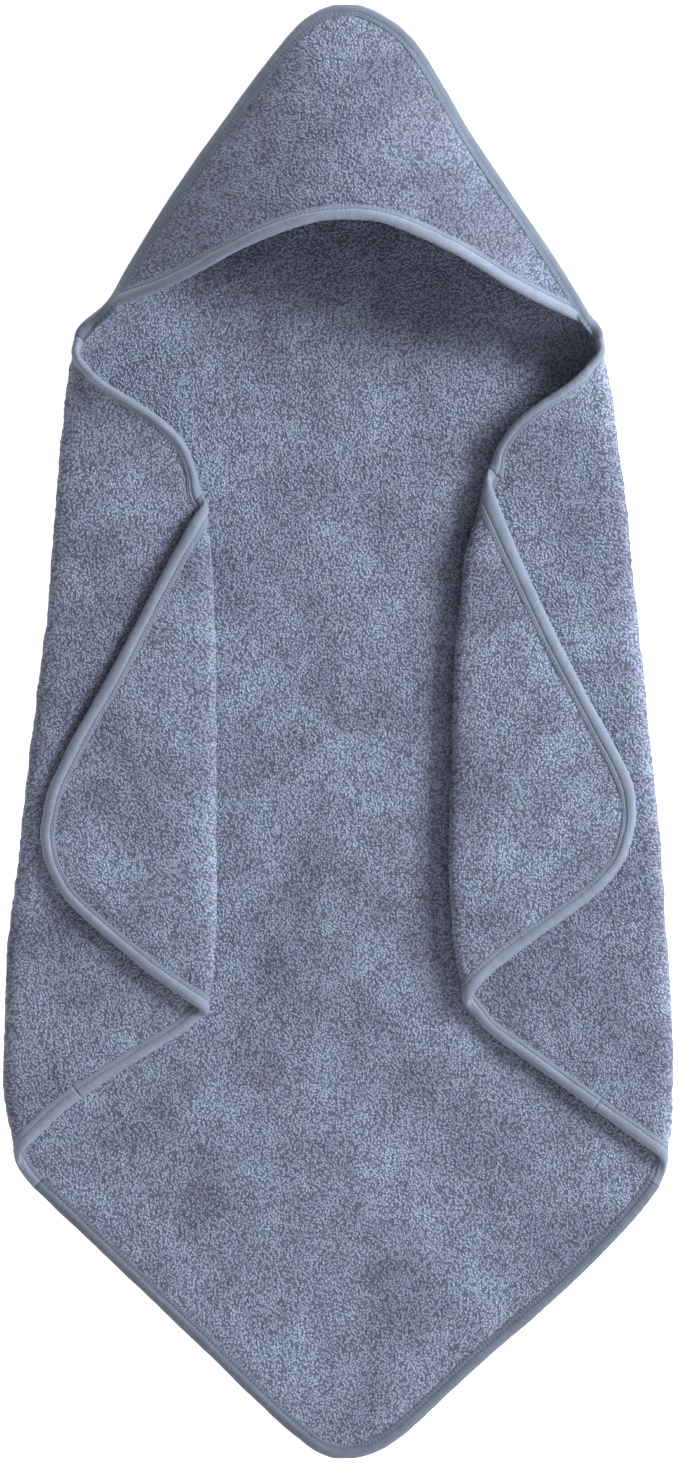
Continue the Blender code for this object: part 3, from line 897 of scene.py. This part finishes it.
class Graph:
    """Short calls for building a material's nodes, most of which read the place in the pattern."""

    def __init__(self, tree):
        self.tree = tree
        self.pattern = self.node("ShaderNodeAttribute", {}, "Vector", attribute_name="pattern")

    def node(self, kind, inputs, output, **settings):
        """A new node's output, once its inputs are linked to sockets or set to values."""
        made = self.tree.nodes.new(kind)
        for key, value in settings.items():
            setattr(made, key, value)
        for key, value in inputs.items():
            self.link(value, made.inputs[key])
        return made.outputs[output]

    def link(self, source, socket):
        if isinstance(source, bpy.types.NodeSocket):
            self.tree.links.new(source, socket)
        else:
            socket.default_value = source

    def noise(self, scale, detail=2.0, rough=0.5, stretch=(1, 1, 1)):
        place = self.node("ShaderNodeVectorMath", {0: self.pattern, 1: stretch}, 0, operation="MULTIPLY")
        inputs = {"Vector": place, "Scale": scale, "Detail": detail, "Roughness": rough}
        return self.node("ShaderNodeTexNoise", inputs, "Fac")

    def cells(self, scale):
        inputs = {"Vector": self.pattern, "Scale": scale}
        return self.node("ShaderNodeTexVoronoi", inputs, "Distance", feature="F1")

    def math(self, operation, a, b):
        return self.node("ShaderNodeMath", {0: a, 1: b}, 0, operation=operation)

    def total(self, *terms):
        """The sum of (value, share) pairs."""
        total = None
        for value, share in terms:
            scaled = self.math("MULTIPLY", value, share)
            total = scaled if total is None else self.math("ADD", total, scaled)
        return total

    def remap(self, value, *limits):
        """The value moved from between the first two limits to between the last two."""
        inputs = dict(zip(("From Min", "From Max", "To Min", "To Max"), limits))
        return self.node("ShaderNodeMapRange", {"Value": value, **inputs}, "Result", clamp=True)

    def ramp(self, value, stops):
        made = self.tree.nodes.new("ShaderNodeValToRGB")
        self.link(value, made.inputs["Fac"])
        elements = made.color_ramp.elements
        while len(elements) < len(stops):
            elements.new(0.5)
        for element, (position, colour) in zip(elements, stops):
            element.position = position
            element.color = (*colour, 1)
        return made.outputs["Color"]

    def product(self, a, b):
        """One colour times another."""
        inputs = {"Factor": 1.0, "A": a, "B": b}
        return self.node("ShaderNodeMix", inputs, "Result", data_type="RGBA", blend_type="MULTIPLY")

    def bump(self, height, strength, distance, **before):
        inputs = {"Strength": strength, "Distance": distance, "Height": height, **before}
        return self.node("ShaderNodeBump", inputs, "Normal")


def cloth_nodes(name, roughness, sheen, specular):
    return nodes_of(name, Roughness=roughness, Sheen_Weight=sheen, Sheen_Roughness=0.45,
                    Sheen_Tint=(0.80, 0.86, 1.0, 1), Specular_IOR_Level=specular)


def shade(colour, share):
    return tuple(c * share for c in colour)


def terry(name, colour):
    """Looped cotton pile: tight loops with painted shade in the gaps between them and a painted highlight on
    their tips, whose colour drifts slowly.
    """
    made, g, shader = cloth_nodes(name, 0.95, 0.18, 0.12)
    loops = g.remap(g.cells(610.0), 0.05, 0.75, 1.0, 0.0)
    curls = g.noise(1000.0, 3.0, 0.6)
    tufts = g.noise(260.0, 2.0, 0.5)
    height = g.total((loops, 0.60), (curls, 0.7), (tufts, 0.12))
    # Painted shade and highlight: the colour follows the loops' height, dark between them and light on their
    # tips
    stops = [(0.0, 0.36), (0.42, 0.86), (0.78, 1.24), (1.0, 1.75)]
    painted_loop_shade = g.ramp(g.remap(height, 0.38, 1.08, 0.0, 1.0), [(at, shade(colour, v)) for at, v in stops])
    stops = [(0.30, (0.72, 0.71, 0.74)), (0.50, (1, 1, 1)), (0.70, (1.22, 1.25, 1.26))]
    drift = g.ramp(g.noise(13.0, 3.0, 0.55), stops)
    patches = g.ramp(g.noise(48.0, 2.0, 0.5), [(0.30, (0.92, 0.86, 0.90)), (0.68, (1.08, 1.13, 1.12))])
    g.link(g.product(g.product(painted_loop_shade, drift), patches), shader["Base Color"])
    g.link(g.bump(height, 0.85, 0.0022), shader["Normal"])
    return made


def tape(name, colour):
    """Plain-woven cotton tape, slightly puckered along its seams and shaded in its sewn grooves."""
    made, g, shader = cloth_nodes(name, 0.72, 0.22, 0.25)
    weft = g.noise(1500.0, 2.0, 0.6, (0.55, 1.0, 1.0))
    warp = g.noise(1500.0, 2.0, 0.6, (1.0, 0.4, 1.0))
    weave = g.total((weft, 0.5), (warp, 0.5))
    pucker = g.noise(240.0, 2.0, 0.5, (1.0, 0.30, 1.0))
    streak = g.noise(60.0, 3.0, 0.6, (0.5, 3.0, 1.0))
    tone = g.ramp(streak, [(0.30, shade(colour, 0.86)), (0.50, colour), (0.72, shade(colour, 1.14))])
    grain = g.ramp(weave, [(0.36, (0.88, 0.87, 0.88)), (0.62, (1.06, 1.06, 1.06))])
    across = g.node("ShaderNodeSeparateXYZ", {0: g.pattern}, "Y")
    # Painted shade: darker at the tape's inner edge and in its two sewn grooves
    stops = [(0.0, 0.62), (0.16, 0.96), (0.20, 1.0), (0.245, 0.55), (0.29, 1.02), (0.46, 1.02), (0.515, 0.52),
             (0.57, 1.0), (0.80, 1.06), (1.0, 1.0)]
    grooves = g.ramp(g.remap(across, 0.0, 0.008, 0.0, 1.0), [(at, (v, v, v)) for at, v in stops])
    g.link(g.product(g.product(tone, grain), grooves), shader["Base Color"])
    g.link(g.bump(pucker, 0.40, 0.0012, Normal=g.bump(weave, 0.35, 0.0004)), shader["Normal"])
    return made


def thread(name, colour):
    """Twisted sewing thread."""
    made, g, shader = cloth_nodes(name, 0.55, 0.10, 0.35)
    twist = g.noise(2600.0, 1.0, 0.5, (1.0, 3.0, 1.0))
    tone = g.ramp(twist, [(0.35, shade(colour, 0.75)), (0.65, shade(colour, 1.2))])
    g.link(tone, shader["Base Color"])
    g.link(g.bump(twist, 0.5, 0.0003), shader["Normal"])
    return made


def plain_floor():
    """Pale, and glowing a little so that it stays even."""
    pale, white = (0.93, 0.93, 0.93, 1), (1, 1, 1, 1)
    return nodes_of("floor", Roughness=0.9, Specular_IOR_Level=0.1, Base_Color=pale,
                    Emission_Color=white, Emission_Strength=0.85)[0]


TERRY = (terry("terry", (0.230, 0.260, 0.354)), "terry")
# The same terry painted darker for the hood's front layer: painted shade
SHADED_HOOD_TERRY = (terry("hood_terry", (0.180, 0.200, 0.280)), "hood_terry")
TAPE = (tape("tape", (0.158, 0.186, 0.245)), "binding_tape")
# The same tape painted darker: painted shade on the bindings of the hood's rim and the foot
SHADED_TAPE = (tape("shaded_tape", (0.100, 0.123, 0.160)), "binding_tape")
THREAD = (thread("thread", (0.21, 0.235, 0.32)), "sewing_thread")


# Putting it together


def hold(obj, finish, *nodes):
    """Gives the piece its material, and hides the nodes of the frame that it stands for."""
    material, slot = finish
    obj.data.materials.append(material)
    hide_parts(*nodes)


def hold_edge(pair, finish, stem, *also):
    """The same for a binding and its stitches."""
    hold(pair[0], finish, stem + "_binding", *also)
    hold(pair[1], THREAD, stem + "_stitching")


def bend(obj, weights=None):
    """Bakes the piece's transform into its mesh. The weights are not used."""
    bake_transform(obj)


def pattern_of(obj):
    """Each vertex's place in pattern space, with the back's texture shift taken off."""
    values = np.zeros(len(obj.data.vertices) * 3, np.float32)
    obj.data.attributes["pattern"].data.foreach_get("vector", values)
    spots = values.reshape(-1, 3).astype(float)
    spots[spots[:, 2] > BACK_SHIFT[2] / 2] -= BACK_SHIFT
    return spots[:, :2]


def unsigned(spots):
    """Distance from the middle line, and y, as two lists."""
    return np.abs(spots[:, 0]), spots[:, 1]


def run_of(obj, run, longest):
    """The point of the pattern that each vertex of a binding or its stitches lies beside."""
    return columns_at(pattern_of(obj)[:, 0], np.linspace(0, longest, len(run)), run).T


def declare(obj):
    spots = pattern_of(obj)


def hood_rim_binding():
    """Binds both layers of the hood, and the sheet alone below their corners."""
    line = joined_line(HOOD_CUT, above=True)
    back_layer = crossing_edge(line)
    plain = back_layer(0.0)[0]
    inward = unit((back_layer(0.002)[0] - plain)[:, :2])
    joined = smoothstep(line[:, 1], 0.2745, 0.2900)[:, None]

    def front_layer(d):
        points, normals = back_layer(d)
        over, over_normals = front_surface(*(plain[:, :2] + inward * d).T)
        return points * (1 - joined) + over * joined, unit(normals * (1 - joined) + over_normals * joined)

    return banded("hood_rim", Edge(front_layer, back_layer))


def hood_mouth_binding():
    """Binds the hood's front edge, thinner where it runs into the rim's binding."""
    line = mouth_edge[(mouth_edge[:, 0] > MOUTH_ENDS[0]) & (mouth_edge[:, 0] < MOUTH_ENDS[1])]
    line = dense(line, BINDING_STEP)
    inward = leftward(unit(np.gradient(line, axis=0)))
    rims = {name: (side.rim_y, side.rim_x) for name, side in SIDES.items()}

    def layer(d):
        x, y = (line + inward * d).T
        low, high = 0.003 - np.interp(y, *rims["left"]), np.interp(y, *rims["right"]) - 0.003
        return front_surface(np.where(x < 0, np.maximum(x, low), np.minimum(x, high)), y)

    near_end = np.minimum(line[:, 0] - line[0, 0], line[-1, 0] - line[:, 0])
    return banded("hood_mouth", Edge(layer, layer), 0.6 + 0.4 * smoothstep(near_end, 0.004, 0.022))


def foot_binding():
    layer = crossing_edge(joined_line(HEM_END, above=False))
    return banded("foot", Edge(layer, layer))


def place_floor():
    """A plain floor with a low backdrop round it."""
    around = [(x * FLOOR_REACH, y * FLOOR_REACH) for x, y in ((-1, -1), (1, -1), (1, 1), (-1, 1))]
    corners = [(x, y, z) for z in (FLOOR_Z, WALL_HEIGHT) for x, y in around]
    walls = [(i, 4 + i, 4 + (i + 1) % 4, (i + 1) % 4) for i in range(4)]
    mesh = bpy.data.meshes.new("floor")
    mesh.from_pydata(corners, [], [(0, 1, 2, 3), *walls])
    mesh.materials.append(plain_floor())
    floor = bpy.data.objects.new("floor", mesh)
    bpy.context.scene.collection.objects.link(floor)


def place_side(side, cloth, bands):
    """Gives a side's cloth and bindings their materials, and bakes their transforms."""
    name = side.name
    body, corner = name + "_side", name + "_corner"
    hold(cloth[body], TERRY, body + "_panel")
    hold(cloth[corner], TERRY, corner + "_panel")
    bend(cloth[body], side.side_weight(*unsigned(pattern_of(cloth[body]))))
    bend(cloth[corner], side.corner_weight(*unsigned(pattern_of(cloth[corner]))))
    for part in ("neck", "corner", "hem"):
        (band, sewn), run = bands[f"{name}_{part}"]
        also = [name + "_waist_binding"] if part == "hem" else []
        hold_edge((band, sewn), TAPE, f"{name}_{part}", *also)
        longest = pattern_of(band)[:, 0].max()
        for piece in (band, sewn):
            s, y = run_of(piece, run, longest)
            if part == "corner":
                bend(piece, side.corner_weight(s, y))
            else:
                bend(piece, side.side_weight(s, y))


def build():
    cloth = sheet_pieces()
    front = hood_front()
    bands = edge_bindings()
    rim, mouth, foot = hood_rim_binding(), hood_mouth_binding(), foot_binding()
    place_floor()

    hold(cloth["centre"], TERRY, "main_panel")
    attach(cloth["centre"], "root")
    hold(cloth["foot"], TERRY, "foot_corner_panel")
    # painted shade: the foot's binding takes the darker copy of the tape
    hold_edge(foot, SHADED_TAPE, "foot_corner")
    for piece in (cloth["foot"], *foot):
        bend(piece)

    hold(cloth["hood_back"], TERRY, "hood_back_panel")
    # painted shade: the hood's front layer takes the darker copy of the terry
    hold(front, SHADED_HOOD_TERRY, "hood_front_panel")
    # painted shade: the hood's rim binding takes the darker copy of the tape
    hold_edge(rim, SHADED_TAPE, "hood_rim")
    hold_edge(mouth, TAPE, "hood_mouth")
    for piece in (cloth["hood_back"], front, *rim, *mouth):
        bend(piece)

    for side in SIDES.values():
        place_side(side, cloth, bands)

    declare(cloth["centre"])
    declare(cloth["foot"])
    declare(cloth["hood_back"])
    for name in SIDES:
        declare(cloth[name + "_side"])
        declare(cloth[name + "_corner"])
    declare(front)


def area_light(name, place, size, power, colour):
    """A soft lamp that points at the middle of the towel."""
    data = bpy.data.lights.new(name, "AREA")
    data.shape = "RECTANGLE"
    data.size, data.size_y = size
    data.energy = power
    data.color = colour
    obj = bpy.data.objects.new(name, data)
    obj.location = place
    obj.rotation_euler = (-Vector(place)).to_track_quat("-Z", "Y").to_euler()
    bpy.context.scene.collection.objects.link(obj)


def studio_world():
    """Soft light all round, stronger from the right."""
    world = bpy.data.worlds.new("studio")
    world.use_nodes = True
    background = world.node_tree.nodes["Background"]
    background.inputs["Color"].default_value = (1.0, 0.965, 0.965, 1)
    g = Graph(world.node_tree)
    direction = g.node("ShaderNodeTexCoord", {}, "Generated")
    rightward = g.node("ShaderNodeSeparateXYZ", {0: direction}, "X")
    g.link(g.remap(rightward, -1, 1, *WORLD_LIGHT), background.inputs["Strength"])
    return world


def lights_and_camera():
    scene = bpy.context.scene
    camera = bpy.data.objects.new("camera", bpy.data.cameras.new("camera"))
    scene.collection.objects.link(camera)
    camera.location = (*VIEW_CENTRE, CAMERA_HEIGHT)
    camera.data.sensor_fit = "VERTICAL"
    camera.data.sensor_height = SENSOR
    camera.data.lens = SENSOR * CAMERA_HEIGHT / VIEW_HEIGHT
    camera.data.clip_end = FARTHEST
    scene.camera = camera
    area_light("key", (2.38, 1.25, 1.46), (1.0, 1.0), 176, (0.94, 0.98, 1.0))
    area_light("fill", (0.2, -2.4, 1.0), (1.4, 1.0), 26, (1.0, 0.98, 1.0))
    scene.world = studio_world()
    scene.view_settings.view_transform = "Standard"


lights_and_camera()
build()
